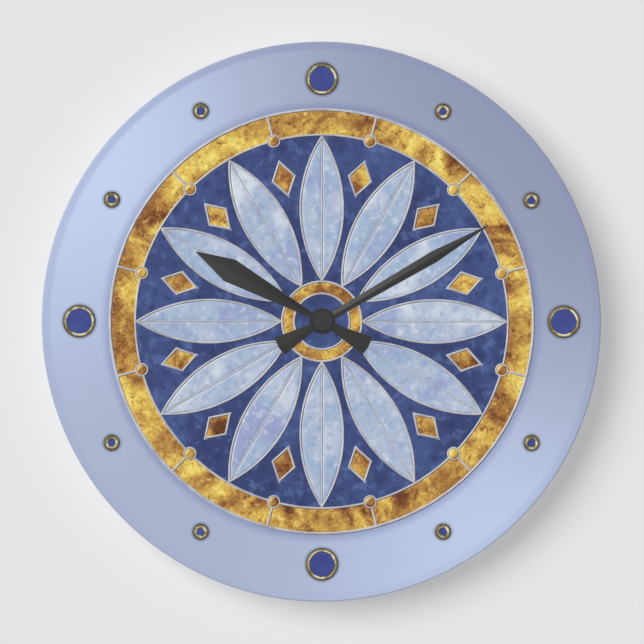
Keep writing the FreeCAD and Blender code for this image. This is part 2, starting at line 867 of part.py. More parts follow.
def hour_marker_rings():
    outer = each_hour(quarter_marker_radius, small_marker_radius)
    inner = each_hour(quarter_centre_radius, small_centre_radius)
    return group([film_ring(radius, hole, place) for (radius, place), (hole, _) in zip(outer, inner)])


def hour_marker_centres():
    return group([film_disc(radius, place)
                  for radius, place in each_hour(quarter_centre_radius, small_centre_radius)])


def dial_print_ground():
    sheet = film_ring(dial_radius - dial_chamfer - print_margin, medallion_radius)
    return sheet.cut([film_disc(radius, place)
                      for radius, place in each_hour(quarter_marker_radius, small_marker_radius)])


def vesica(half_length, half_width, centre_radius):
    """A leaf shape of two arcs, along the line to 12, with its middle at centre_radius."""
    low = (0, centre_radius - half_length)
    high = (0, centre_radius + half_length)
    right = arc(low, (half_width, centre_radius), high)
    left = arc(high, (-half_width, centre_radius), low)
    return prism([right, left], dial_front, print_front)


def petal_outline():
    half_length = (petal_outer_radius - petal_inner_radius) / 2
    centre_radius = (petal_outer_radius + petal_inner_radius) / 2
    return vesica(half_length, petal_width / 2, centre_radius)


def petal_panes():
    """The two halves of a petal inside its outline, on each side of the vein."""
    half_length = (petal_outer_radius - petal_inner_radius) / 2
    half_width = petal_width / 2
    arc_radius = (half_length ** 2 + half_width ** 2) / (2 * half_width)
    centre_offset = arc_radius - half_width
    inset_length = math.sqrt((arc_radius - lead_width) ** 2 - centre_offset ** 2)
    centre_radius = (petal_outer_radius + petal_inner_radius) / 2
    pane = vesica(inset_length, half_width - lead_width, centre_radius)
    half_vein = vein_width / 2
    vein = block(-half_vein, half_vein, petal_inner_radius, petal_outer_radius, dial_front, print_front)
    return pane.cut(vein)


def lozenge(inset):
    half_length = lozenge_length / 2
    half_width = lozenge_width / 2
    share = 1 - inset * math.hypot(half_length, half_width) / (half_length * half_width)
    corners = [(0, lozenge_centre_radius - half_length * share), (half_width * share, lozenge_centre_radius),
               (0, lozenge_centre_radius + half_length * share), (-half_width * share, lozenge_centre_radius)]
    return polygon(corners, dial_front, print_front)


def around(shape, offset_share):
    """Copies of a shape round the rosette, turned by a share of the step between them."""
    step = 360 / petal_count
    return [turned(shape, (index + offset_share) * step) for index in range(petal_count)]


between_petals_share = 0.5
bead_circle_radius = band_inner_radius - lead_width / 2


def beads(radius):
    return around(film_disc(radius, (0, bead_circle_radius)), between_petals_share)


def gold_band():
    """The ring of panes inside the rim, parted by radial leads at the beads."""
    band = film_ring(medallion_radius - rim_lead_width, band_inner_radius)
    half = lead_width / 2
    bar = block(-half, half, band_inner_radius - lead_width, medallion_radius, dial_front, print_front)
    bars = around(bar, between_petals_share)
    return cut_all(band, bars + beads(bead_radius + lead_width / 2))


def centre_ring():
    return film_ring(roundel_radius - lead_width, roundel_hole_radius + lead_width)


def dial_print_gold():
    return group([gold_band(), centre_ring()] + around(lozenge(lead_width), between_petals_share)
                 + beads(bead_radius))


def dial_print_petals():
    return group(around(petal_panes(), 0))


def dial_print_field():
    """The glass behind the motifs, out to the ring of panes, and the disc inside the small ring."""
    outer = film_disc(band_inner_radius - lead_width)
    motifs = around(petal_outline(), 0) + around(lozenge(0), between_petals_share)
    motifs += beads(bead_radius + lead_width / 2)
    motifs.append(film_ring(roundel_radius, roundel_hole_radius))
    motifs.append(film_disc(shaft_hole_radius))
    return group([cut_all(outer, motifs)])


def dial_print_outlines():
    """The metal lines between all the panes, as the film inside the rim without what they enclose."""
    sheet = film_disc(medallion_radius).cut(film_disc(shaft_hole_radius))
    panes = dial_print_gold().Solids + dial_print_petals().Solids + dial_print_field().Solids
    return group([cut_all(sheet, panes)])


# Hands

def roof(width, low, high, back):
    """A long block whose front is a shallow roof, highest along the middle."""
    half = width / 2
    section = [(-half, back), (half, back), (half, back + hand_edge_thickness),
               (0, back + hand_ridge_thickness), (-half, back + hand_edge_thickness), (-half, back)]
    face = Part.Face(Part.makePolygon([point(x, depth, low) for x, depth in section]))
    return face.extrude(FreeCAD.Vector(0, 0, high - low))


def blade_edges(root_width, width, widest, length, tail_root_width):
    """The open outline of a blade, from the left of the tail's root, round the tip, to its right."""
    half_root, half_width, half_tip = root_width / 2, width / 2, hand_tip_width / 2
    half_tail = tail_root_width / 2
    places = [(-half_tail, 0), (-half_root, 0), (-half_width, widest), (-half_tip, length),
              (half_tip, length), (half_width, widest), (half_root, 0), (half_tail, 0)]
    return [line(start, end) for start, end in zip(places, places[1:])]


def tail_edges(root_width, width, length):
    """The open outline of a flared tail, from its right root, round its curved end, to its left root."""
    half_root, half_width = root_width / 2, width / 2
    shoulder = -length + tail_bulge
    half_middle = (half_root + half_width) / 2 - tail_waist
    right = arc((half_root, 0), (half_middle, shoulder / 2), (half_width, shoulder))
    end = arc((half_width, shoulder), (0, -length), (-half_width, shoulder))
    left = arc((-half_width, shoulder), (-half_middle, shoulder / 2), (-half_root, 0))
    return [right, end, left]


def hand(edges, width, length, tail_length, hub_radius, back):
    """A hand that points to 12: blade and tail under a shallow roof, and a round hub."""
    outline = prism(edges, back, back + hub_thickness)
    shaped = outline.common(roof(width, -tail_length, length, back))
    return fused([shaped, disc(hub_radius, back, back + hub_thickness)])


def hour_hand():
    edges = blade_edges(hour_hand_root_width, hour_hand_width, hour_hand_widest, hour_hand_length,
                        hour_tail_root_width)
    edges += tail_edges(hour_tail_root_width, hour_tail_width, hour_tail_length)
    whole = hand(edges, hour_hand_width, hour_hand_length, hour_tail_length, hour_hub_radius, hour_hand_back)
    whole = whole.cut(disc(hour_pipe_radius, hour_hand_back, hour_hub_front))
    return turned(whole, hour_hand_angle)


def minute_hand():
    edges = blade_edges(minute_hand_root_width, minute_hand_width, minute_hand_widest, minute_hand_length,
                        minute_tail_root_width)
    edges += tail_edges(minute_tail_root_width, minute_tail_width, minute_tail_length)
    widest = max(minute_hand_width, minute_tail_width)
    whole = hand(edges, widest, minute_hand_length, minute_tail_length, minute_hub_radius, minute_hand_back)
    whole = whole.cut(hand_flats(minute_hand_back, minute_hub_front))
    return turned(whole, minute_hand_angle)


def cap_nut():
    """The round closed nut that holds the minute hand, with a sloped crown."""
    straight = cap_front - cap_crown
    outline = [(0, minute_hub_front), (cap_radius, minute_hub_front), (cap_radius, straight),
               (cap_radius - cap_crown, cap_front), (0, cap_front), (0, minute_hub_front)]
    face = Part.Face(Part.makePolygon([point(x, depth, 0) for x, depth in outline]))
    body = face.revolve(ORIGIN, CLOCK_AXIS, 360)
    return body.cut(disc(minute_thread_radius, minute_hub_front, minute_hub_front + cap_thread_depth))


NODES = (dial_disc, dial_print_ground, dial_print_field, dial_print_petals, dial_print_gold,
         dial_print_outlines, hour_marker_rings, hour_marker_centres, hanger_bracket, rubber_gasket,
         dial_washer, dial_nut, threaded_bushing, movement_case, movement_back_cover, train_bridge,
         movement_screws, stator_plate, coil_core, coil_bobbin, coil_winding, rotor_magnet, rotor_pinion,
         intermediate_wheel, seconds_wheel, third_wheel, centre_wheel, clutch_washer, minute_arbor,
         motion_wheel, hour_wheel, setting_knob, circuit_board, control_chip, quartz_crystal,
         battery_contact_positive, battery_contact_negative, battery_cell, battery_sleeve,
         hour_hand, minute_hand, cap_nut)


def main():
    os.makedirs(OUT, exist_ok=True)
    for make in NODES:
        shape = make()
        shape.exportStep(os.path.join(OUT, make.__name__ + ".step"))
        print(make.__name__, "solids", len(shape.Solids), "volume", round(shape.Volume, 2), shape.isValid())


main()
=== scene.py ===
import math

import bpy
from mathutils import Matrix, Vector


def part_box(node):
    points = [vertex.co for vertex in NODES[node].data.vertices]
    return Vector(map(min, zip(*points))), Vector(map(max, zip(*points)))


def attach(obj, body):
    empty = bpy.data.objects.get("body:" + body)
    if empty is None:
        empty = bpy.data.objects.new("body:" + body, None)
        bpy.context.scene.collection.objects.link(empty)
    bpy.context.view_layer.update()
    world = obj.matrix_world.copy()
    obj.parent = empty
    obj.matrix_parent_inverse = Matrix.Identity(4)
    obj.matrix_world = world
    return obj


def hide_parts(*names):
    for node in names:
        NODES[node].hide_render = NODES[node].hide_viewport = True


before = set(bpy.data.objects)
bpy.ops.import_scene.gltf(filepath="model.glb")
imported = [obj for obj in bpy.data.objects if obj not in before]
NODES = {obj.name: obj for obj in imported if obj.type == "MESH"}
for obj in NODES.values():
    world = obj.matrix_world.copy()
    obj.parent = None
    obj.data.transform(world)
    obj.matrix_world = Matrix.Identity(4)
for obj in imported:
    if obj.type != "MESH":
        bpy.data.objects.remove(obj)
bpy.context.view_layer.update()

# The looks of a round wall clock. Lengths are in metres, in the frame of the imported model:
# the dial faces -Y, Z is up, and the hands' axis is the Y axis. Clock angles are degrees
# from 12, clockwise as seen from the front.

MM = 0.001
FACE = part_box("dial_disc")[0].y
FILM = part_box("dial_print_ground")[0].y
DIAL_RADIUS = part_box("dial_disc")[1].x
FILM_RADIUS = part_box("dial_print_ground")[1].x
ROSETTE_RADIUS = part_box("dial_print_outlines")[1].x
JACKET_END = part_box("battery_sleeve")[1].x

# The rosette, as on the film. PANE_TIP is how wide a petal's pane is where it ends beside the
# vein, and QUARTER_GAP is how many degrees part the roundel's four panes.
RIM_LEAD = 1.4 * MM
LEAD = 1.1 * MM
VEIN = 0.7 * MM
BAND_RADIUS = 91.52 * MM
PETALS = 12
PETAL_INNER = 19.4 * MM
PETAL_OUTER = 90.72 * MM
PETAL_WIDTH = 22.0 * MM
PETAL_MIDDLE = (PETAL_INNER + PETAL_OUTER) / 2
PETAL_HALF = (PETAL_OUTER - PETAL_INNER) / 2
PANE_TIP = 0.08 * MM
LOZENGE_RADIUS = 72.0 * MM
LOZENGE_LENGTH = 19.0 * MM
LOZENGE_WIDTH = 12.5 * MM
BEAD_RADIUS = 2.6 * MM
BEAD_CIRCLE = BAND_RADIUS - LEAD / 2
ROUNDEL_RADIUS = 20.0 * MM
ROUNDEL_HOLE = 13.0 * MM
QUARTER_GAP = 0.1

# The hour markers, with each kind's outer and inner radius, and the clock angle of one of the
# three painted reflections on every rim
MARKER_CIRCLE = 118.3 * MM
QUARTER_MARKER = (8.0 * MM, 6.0 * MM)
SMALL_MARKER = (4.0 * MM, 1.76 * MM)
REFLECTION_STRETCH = 300

# The hands' clock angles at rest, and how far from the axis their slopes reach their tip's grey
HOUR_HAND_ANGLE = 298.7
HOUR_HAND_REACH = 64 * MM
MINUTE_HAND_ANGLE = 59.9
MINUTE_HAND_REACH = 80 * MM

# How far the painted relief stands off the film
LEAD_RISE = 0.34 * MM
PANE_RISE = 0.22 * MM
BEAD_RISE = 1.1 * MM
RING_RISE = 0.45 * MM

# Profiles: shares of the way across a line of lead, and across a marker's rim with its heights
RIBBON_SHARES = (-1.0, -0.9, -0.62, -0.3, 0.0, 0.3, 0.62, 0.9, 1.0)
RING_SHARES = (0.0, 0.05, 0.14, 0.26, 0.40, 0.52, 0.64, 0.76, 0.88, 0.96, 1.0)
RING_HEIGHTS = (0.0, 0.30, 0.55, 0.78, 0.94, 1.00, 0.96, 0.84, 0.60, 0.30, 0.0)

# How finely lines, panes and round things are divided
RIM_STEPS = 192
BAND_STEPS = 168
ROUNDEL_STEPS = 72
BAR_STEPS = 6
VEIN_STEPS = 12
PETAL_STEPS = 33
PETAL_PANE_ROWS = 40
PANE_COLUMNS = 13
BAND_PANE_ROWS = 29
QUARTER_PANE_ROWS = 19
BAND_PANE_COLUMNS = 9
LOZENGE_SIDE_STEPS = 6
RING_STEPS = 56
BEAD_LEAD_STEPS = 48
BEAD_RINGS = 9
BEAD_STEPS = 28

# Rounded edges of the hands and the cap nut: the bevel's width, how near points are joined for
# it, and the angle in degrees from which an edge gets it. SHARP_EDGE is the angle from which a
# new piece's edge is shaded sharp.
SOFT_EDGE = 0.19 * MM
JOINED = 0.001 * MM
HARD_EDGE = 35
SHARP_EDGE = 50

# Directions on the dial: the relief gets a painted highlight on slopes towards the first and painted
# shade on slopes away from it, and the marker rims' outer slope gets painted shade towards the second
UPPER_LEFT = (-0.75, 0.0, 0.66)
LOWER_LEFT = (-0.64, 0.0, -0.77)

# Waves that add up to the ground's painted sheen of light and dark sectors: how many light sectors a
# wave has, where one of them lies in degrees from 3 o'clock towards 12, and the wave's weight
SECTOR_WAVES = ((1, 213, 0.235), (2, 137, 0.28), (3, 47, 0.033), (4, 46, 0.046))

# Camera, from the photograph
IMAGE_SIZE = 644
DISC_DIAMETER_PX = 560.3
DISC_ABOVE_MIDDLE_PX = 0.5
CAMERA_AZIMUTH = -3.6
CAMERA_ELEVATION = -1.2
LENS = 500.0
SENSOR = 36.0

# The cell's silver band
SILVER_BAND = 12.0 * MM
BAND_BLUR = 0.2 * MM

# Stage and light. A share is how much of a colour a lamp renders on a face towards the viewer,
# and a spread is the lamp's width in degrees. The key light leans by KEY_LEAN for each unit
# towards the viewer, to the side that lies KEY_SIDE degrees from 3 o'clock towards 12.
WALL_GAP = 0.6 * MM
WALL_HALF = 3.0
KEY_LEAN = 0.75
KEY_SIDE = 155.0
KEY_SHARE = 0.45
KEY_SPREAD = 42
FRONT_SHARE = 0.42
FRONT_SPREAD = 5
REAR_SHARE = 0.35
REAR_SPREAD = 20
WORLD_SHARE = 0.12
WORLD_SEEN = 0.80


# Node materials

class Paint:
    """A node material with one Principled shader, built by short calls."""

    def __init__(self, name, **values):
        self.material = bpy.data.materials.new(name)
        self.material.use_nodes = True
        self.tree = self.material.node_tree
        self.tree.nodes.clear()
        self.output = self.tree.nodes.new("ShaderNodeOutputMaterial")
        self.shader = self.tree.nodes.new("ShaderNodeBsdfPrincipled")
        self.tree.links.new(self.shader.outputs[0], self.output.inputs[0])
        self.place = self.tree.nodes.new("ShaderNodeTexCoord")
        for socket, value in values.items():
            self.put(socket.replace("_", " "), value)

    def put(self, socket, value):
        """Sets a socket of the shader to a value, or links it."""
        self.feed(self.shader.inputs[socket], value)

    def feed(self, target, value):
        """Sets any socket to a value, or links it."""
        if isinstance(value, bpy.types.NodeSocket):
            self.tree.links.new(value, target)
        else:
            target.default_value = value

    def node(self, kind, inputs, **settings):
        """A new node with these settings, and with inputs given by their place or name."""
        made = self.tree.nodes.new(kind)
        for name, value in settings.items():
            setattr(made, name, value)
        for key, value in inputs.items():
            self.feed(made.inputs[key], value)
        return made

    def maths(self, operation, first, second=0.0, third=0.0, clamp=False):
        """The result of one operation on numbers or sockets."""
        inputs = {0: first, 1: second, 2: third}
        return self.node("ShaderNodeMath", inputs, operation=operation, use_clamp=clamp).outputs[0]

    def plus(self, first, second):
        return self.maths("ADD", first, second)

    def minus(self, first, second):
        return self.maths("SUBTRACT", first, second)

    def times(self, first, second):
        return self.maths("MULTIPLY", first, second)

    def mix(self, share, first, second):
        """The second colour over the first, by this share."""
        return self.node("ShaderNodeMix", {0: share, 6: first, 7: second}, data_type="RGBA").outputs[2]

    def mix_numbers(self, share, first, second):
        """The second number over the first, by this share."""
        return self.node("ShaderNodeMix", {0: share, 2: first, 3: second}).outputs[0]

    def step(self, value, low, high, to_low=0.0, to_high=1.0):
        """A smooth step of value, from to_low at low to to_high at high."""
        inputs = {0: value, 1: low, 2: high, 3: to_low, 4: to_high}
        return self.node("ShaderNodeMapRange", inputs, interpolation_type="SMOOTHSTEP").outputs[0]

    def ramp(self, value, *stops):
        """The colour at value between stops of a place and a colour."""
        made = self.node("ShaderNodeValToRGB", {0: value})
        elements = made.color_ramp.elements
        while len(elements) < len(stops):
            elements.new(0.5)
        for element, (place, colour) in zip(elements, stops):
            element.position = place
            element.color = colour
        return made.outputs[0]

    def scaled(self, size, stretch=(1, 1, 1)):
        """The place on the object, counted in lengths of this size."""
        scale = [share / size for share in stretch]
        return self.node("ShaderNodeMapping", {0: self.place.outputs["Object"], 3: scale}).outputs[0]

    def noise(self, size, detail=2.0, roughness=0.5, distortion=0.0, stretch=(1, 1, 1)):
        """Noise whose features are about this many metres across."""
        inputs = {"Vector": self.scaled(size, stretch), "Scale": 1.0, "Detail": detail,
                  "Roughness": roughness, "Distortion": distortion}
        return self.node("ShaderNodeTexNoise", inputs).outputs[0]

    def cells(self, size, smooth):
        """The distance to the middle of soft cells that are about this many metres across."""
        inputs = {"Vector": self.scaled(size), "Scale": 1.0, "Smoothness": smooth}
        return self.node("ShaderNodeTexVoronoi", inputs, feature="SMOOTH_F1").outputs[0]

    def polar(self):
        """The distance from the hands' axis, and the angle from +X towards +Z in radians."""
        parts = self.node("ShaderNodeSeparateXYZ", {0: self.place.outputs["Object"]})
        x, z = parts.outputs[0], parts.outputs[2]
        square = self.plus(self.times(x, x), self.times(z, z))
        return self.maths("SQRT", square), self.maths("ARCTAN2", z, x)

    def along(self, output, direction):
        """How far a place, or a face's direction, lies along this direction."""
        inputs = {0: self.place.outputs[output], 1: Vector(direction)}
        return self.node("ShaderNodeVectorMath", inputs, operation="DOT_PRODUCT").outputs["Value"]

    def lit(self):
        """How far the modelled relief leans to the upper left, from -1 to 1."""
        return self.along("Normal", UPPER_LEFT)

    def finished(self, height, depth, strength):
        """The material, with fine relief of this depth where height goes from 0 to 1."""
        inputs = {"Height": height, "Distance": depth, "Strength": strength}
        self.put("Normal", self.node("ShaderNodeBump", inputs).outputs[0])
        return self.material


def srgb(red, green, blue):
    """A colour of 0 to 255 as the linear colour that a shader takes."""
    parts = [value / 255 for value in (red, green, blue)]
    linear = [p / 12.92 if p <= 0.04045 else ((p + 0.055) / 1.055) ** 2.4 for p in parts]
    return (*linear, 1.0)


def grey(level):
    """A grey of 0 to 255 with a touch less blue."""
    return srgb(level, level, level - 1)


# What is on the film

def film_paint(name, roughness=0.42):
    """Ink on the film, with the film's soft gloss."""
    return Paint(name, Roughness=roughness, IOR=1.46, Specular_IOR_Level=0.3)


def sectors(paint, radius, angle, grain):
    """The periwinkle's painted sheen: light and dark sectors like those on a turned disc, softer inwards.
    """
    level = 0.0
    for folds, brightest, weight in SECTOR_WAVES:
        turn = paint.minus(angle, math.radians(brightest))
        wave = paint.maths("COSINE", paint.times(turn, float(folds)))
        level = paint.maths("MULTIPLY_ADD", wave, weight, level)
    level = paint.times(level, paint.step(radius, 100 * MM, 132 * MM, 0.82, 1.0))
    level = paint.maths("MULTIPLY_ADD", paint.minus(grain, 0.5), 0.05, level)
    share = paint.maths("ADD", level, 0.5, clamp=True)
    dark, middle, light = srgb(139, 145, 170), srgb(169, 180, 207), srgb(199, 215, 245)
    return paint.ramp(share, (0.0, dark), (0.5, middle), (1.0, light))


def edge_shade(paint, radius, angle):
    """How dark the soft bevel at the film's edge is: most near 12, and least near 6."""
    darkest = math.radians(75)
    lean = paint.maths("COSINE", paint.minus(angle, darkest))
    bevel = paint.step(radius, FILM_RADIUS - 4.2 * MM, FILM_RADIUS - 2.2 * MM)
    return paint.maths("MULTIPLY", bevel, paint.maths("MULTIPLY_ADD", lean, 0.22, 0.28), clamp=True)


def marker_distance(paint, radius, angle, spacing):
    """How far a place lies from the nearest of the markers that are this many degrees apart."""
    turns = paint.maths("DIVIDE", angle, math.radians(spacing))
    off = paint.minus(turns, paint.maths("ROUND", turns))
    arc = paint.times(paint.times(off, math.radians(spacing)), radius)
    out = paint.minus(radius, MARKER_CIRCLE)
    return paint.maths("SQRT", paint.plus(paint.times(arc, arc), paint.times(out, out)))


def ground_paint():
    """Periwinkle, its painted sheen in sectors, painted shade on a soft edge bevel, and soft painted
    shadows round what lies on it.
    """
    paint = film_paint("print_ground")
    radius, angle = paint.polar()
    grain = paint.noise(6 * MM)
    colour = sectors(paint, radius, angle, grain)
    colour = paint.mix(edge_shade(paint, radius, angle), colour, srgb(136, 145, 184))
    # Painted soft shadow round the rosette
    rosette_shadow = paint.step(radius, ROSETTE_RADIUS - 0.5 * MM, ROSETTE_RADIUS + 5.0 * MM, 0.42, 0.0)
    colour = paint.mix(rosette_shadow, colour, srgb(92, 104, 158))
    for spacing, (size, _) in ((90, QUARTER_MARKER), (30, SMALL_MARKER)):
        away = marker_distance(paint, radius, angle, spacing)
        # Painted soft shadow round each hour marker
        marker_shadow = paint.step(away, size - 0.2 * MM, size + 1.5 * MM, 0.55, 0.0)
        colour = paint.mix(marker_shadow, colour, srgb(84, 88, 112))
    paint.put("Base Color", colour)
    return paint.finished(grain, 0.02 * MM, 0.25)


def field_paint(name, deep, light, ripple_shading):
    """Hammered deep-blue glass: small ripples with painted highlights on their crests and painted shade in
    their troughs, of this strength, over soft lighter patches.
    """
    paint = film_paint(name)
    patches = paint.step(paint.noise(34 * MM, 1.0, 0.4, 0.6), 0.36, 0.66)
    ripple = paint.noise(4.4 * MM, 3.0, 0.55, 0.7)
    small = paint.cells(6.0 * MM, 0.9)
    height = paint.plus(ripple, paint.times(small, 0.5))
    colour = paint.mix(patches, deep, light)
    # Painted highlights on the ripples' crests and painted shade in their troughs
    colour = paint.mix(paint.step(height, 0.74, 0.96, 0.0, ripple_shading), colour, srgb(90, 110, 162))
    colour = paint.mix(paint.step(height, 0.68, 0.46, 0.0, ripple_shading), colour, srgb(36, 46, 88))
    paint.put("Base Color", colour)
    return paint.finished(height, 0.12 * MM, 0.5)


def petal_paint():
    """Pale blue glass with lavender and white drifts, faint streaks with painted highlights and shade, and
    painted highlight and shade on its soft bevel at the lead.
    """
    paint = film_paint("print_petals")
    drift = paint.noise(26 * MM, 1.5, 0.5, 0.8)
    streaks = paint.noise(3.6 * MM, 3.0, 0.6, 0.5)
    colour = paint.ramp(drift, (0.30, srgb(154, 164, 202)), (0.43, srgb(160, 180, 205)),
                        (0.56, srgb(178, 189, 211)), (0.70, srgb(208, 216, 226)))
    # Painted highlights where the streaks' fine relief is high and painted shade where it is low
    colour = paint.mix(paint.step(streaks, 0.52, 0.72, 0.0, 0.55), colour, srgb(220, 226, 233))
    colour = paint.mix(paint.step(streaks, 0.47, 0.30, 0.0, 0.50), colour, srgb(130, 148, 186))
    # Painted highlight on slopes towards the upper left and painted shade on slopes away from it
    lit = paint.lit()
    colour = paint.mix(paint.step(lit, 0.04, 0.30, 0.0, 0.65), colour, srgb(218, 225, 232))
    colour = paint.mix(paint.step(lit, -0.04, -0.32, 0.0, 0.60), colour, srgb(112, 128, 166))
    paint.put("Base Color", colour)
    return paint.finished(streaks, 0.08 * MM, 0.35)


def gold_paint():
    """Hammered gold leaf: bright, orange and brown drifts with fine dents, painted shade and glints on the
    dents, and painted highlight and shade on the slopes.
    """
    paint = film_paint("print_gold", 0.34)
    drift = paint.noise(30 * MM, 2.0, 0.55, 1.6)
    dents = paint.noise(2.6 * MM, 3.0, 0.62, 1.0)
    mixed = paint.plus(paint.times(drift, 0.72), paint.times(dents, 0.34))
    colour = paint.ramp(mixed, (0.38, srgb(92, 50, 24)), (0.44, srgb(132, 82, 42)),
                        (0.49, srgb(160, 112, 56)), (0.55, srgb(188, 144, 74)),
                        (0.61, srgb(214, 178, 84)), (0.70, srgb(242, 222, 122)))
    # Painted shade where the dents are deepest and painted glints where they are highest
    colour = paint.mix(paint.step(dents, 0.42, 0.28, 0.0, 0.65), colour, srgb(84, 48, 22))
    colour = paint.mix(paint.step(dents, 0.61, 0.73, 0.0, 0.40), colour, srgb(250, 236, 160))
    # Painted highlight on slopes towards the upper left and painted shade on slopes away from it
    lit = paint.lit()
    colour = paint.mix(paint.step(lit, 0.08, 0.5, 0.0, 0.7), colour, srgb(248, 232, 160))
    colour = paint.mix(paint.step(lit, -0.08, -0.5, 0.0, 0.7), colour, srgb(120, 70, 30))
    paint.put("Base Color", colour)
    return paint.finished(dents, 0.10 * MM, 0.5)


def lead_paint():
    """Silver-grey leading: a painted highlight on the side to the upper left and painted shade on the
    other.
    """
    paint = film_paint("print_leading", 0.36)
    mottle = paint.noise(5.0 * MM)
    colour = paint.ramp(mottle, (0.35, srgb(166, 165, 170)), (0.65, srgb(194, 195, 201)))
    # Painted highlight on slopes towards the upper left and painted shade on slopes away from it
    lit = paint.lit()
    colour = paint.mix(paint.step(lit, 0.10, 0.50, 0.0, 0.8), colour, srgb(222, 221, 222))
    colour = paint.mix(paint.step(lit, -0.16, -0.38), colour, srgb(88, 78, 76))
    paint.put("Base Color", colour)
    return paint.finished(mottle, 0.05 * MM, 0.3)


def ring_paint():
    """Gold rims of the hour markers: painted shade on the outer slope, a painted highlight on the inner one
    and a dark line inside.

    The rims' own coordinates tell how far across the rim a place lies, and how much it belongs
    to one of the three painted reflections round the rim, which carry painted glints.
    """
    paint = film_paint("print_marker_rings", 0.34)
    own = paint.node("ShaderNodeSeparateXYZ", {0: paint.place.outputs["UV"]})
    across, in_reflection = own.outputs[0], own.outputs[1]
    dents = paint.noise(1.5 * MM, 2.0, 0.6, 0.8)
    place = paint.plus(across, paint.times(paint.minus(dents, 0.5), 0.7))
    # Across the rim: painted shade on the outer slope, a painted highlight on the inner one, a dark line
    # inside
    colour = paint.ramp(place, (0.04, srgb(66, 60, 52)), (0.20, srgb(90, 82, 56)),
                        (0.36, srgb(132, 121, 84)), (0.50, srgb(104, 94, 66)),
                        (0.63, srgb(174, 164, 122)), (0.74, srgb(194, 184, 144)),
                        (0.85, srgb(112, 101, 78)), (0.95, srgb(72, 65, 66)))
    # Random mottle, raised within the three painted reflections: painted glints where it is high, darker
    # patches where it is low
    mottle = paint.plus(paint.noise(3.0 * MM, 1.5), paint.maths("MULTIPLY_ADD", in_reflection, 0.16, -0.08))
    colour = paint.mix(paint.step(mottle, 0.48, 0.38, 0.0, 0.7), colour, srgb(94, 80, 52))
    glint = paint.times(paint.step(mottle, 0.52, 0.63, 0.0, 0.6), paint.step(across, 0.40, 0.60))
    colour = paint.mix(glint, colour, srgb(248, 242, 208))
    colour = paint.mix(paint.step(across, 0.16, 0.02, 0.0, 0.8), colour, srgb(66, 60, 54))
    # Painted shade on the outer slope where it faces the lower left
    lean = paint.along("Normal", LOWER_LEFT)
    shade = paint.times(paint.step(lean, 0.05, 0.45, 0.0, 0.75), paint.step(across, 0.50, 0.36))
    colour = paint.mix(shade, colour, srgb(82, 76, 56))
    paint.put("Base Color", colour)
    return paint.finished(dents, 0.06 * MM, 0.4)


# Plastics, metals and the rest

def moulded(name, colour, fleck, grain=0.7 * MM, roughness=0.5, gloss=0.5):
    """Moulded plastic: a slight change of colour, and a fine grain in its gloss and its surface."""
    paint = Paint(name, IOR=1.5, Specular_IOR_Level=gloss)
    fine = paint.noise(grain, 2.0, 0.6)
    drift = paint.noise(12 * MM)
    paint.put("Base Color", paint.mix(paint.step(drift, 0.35, 0.68), colour, fleck))
    paint.put("Roughness", paint.mix_numbers(fine, roughness - 0.10, roughness + 0.12))
    return paint.finished(fine, 0.03 * MM, 0.5)


def metal(name, colour, fleck, roughness, stretch=(1, 1, 1)):
    """Metal with rolled or turned lines and a few duller spots."""
    paint = Paint(name, Metallic=1.0)
    lines = paint.noise(1.2 * MM, 3.0, 0.6, 0.2, stretch)
    spots = paint.noise(6 * MM, 3.0, 0.55)
    paint.put("Base Color", paint.mix(paint.step(spots, 0.40, 0.68), colour, fleck))
    paint.put("Roughness", paint.mix_numbers(lines, roughness - 0.08, roughness + 0.14))
    return paint.finished(lines, 0.01 * MM, 0.4)


def hand_paint(name, plain, light, dark, degrees, reach):
    """Matt charcoal lacquer: painted highlight and shade on the blade's slopes, a plain tail and lighter
    edges.

    The blade points to this clock angle. Light and dark are grey levels of 0 to 255 for the painted
    highlight and shade, at the blade's root and towards its tip. The highlight is on the anticlockwise
    slope.
    """
    paint = Paint(name, IOR=1.45, Specular_IOR_Level=0.25)
    peel = paint.noise(0.6 * MM)
    drift = paint.noise(20 * MM)
    turn = math.radians(degrees)
    along = paint.along("Object", (math.sin(turn), 0, math.cos(turn)))
    lean = paint.along("Normal", (-math.cos(turn), 0, math.sin(turn)))
    blade = paint.step(along, 3 * MM, 8 * MM)
    outwards = paint.step(along, 8 * MM, reach)
    colour = paint.mix(paint.step(drift, 0.3, 0.7), grey(plain), grey(plain + 4))
    # Painted highlight on one slope and painted shade on the other, by which way the slope leans
    for full_lean, (root, tip) in ((0.06, light), (-0.06, dark)):
        slope = paint.mix(outwards, grey(root), grey(tip))
        colour = paint.mix(paint.times(paint.step(lean, 0.0, full_lean), blade), colour, slope)
    edge = paint.step(paint.along("Normal", (0, -1, 0)), 0.95, 0.82)
    clear_of_hub = paint.step(paint.maths("ABSOLUTE", along), 13 * MM, 16 * MM)
    paint.put("Base Color", paint.mix(paint.times(edge, clear_of_hub), colour, srgb(150, 153, 168)))
    paint.put("Roughness", paint.mix_numbers(peel, 0.42, 0.56))
    return paint.finished(peel, 0.012 * MM, 0.3)


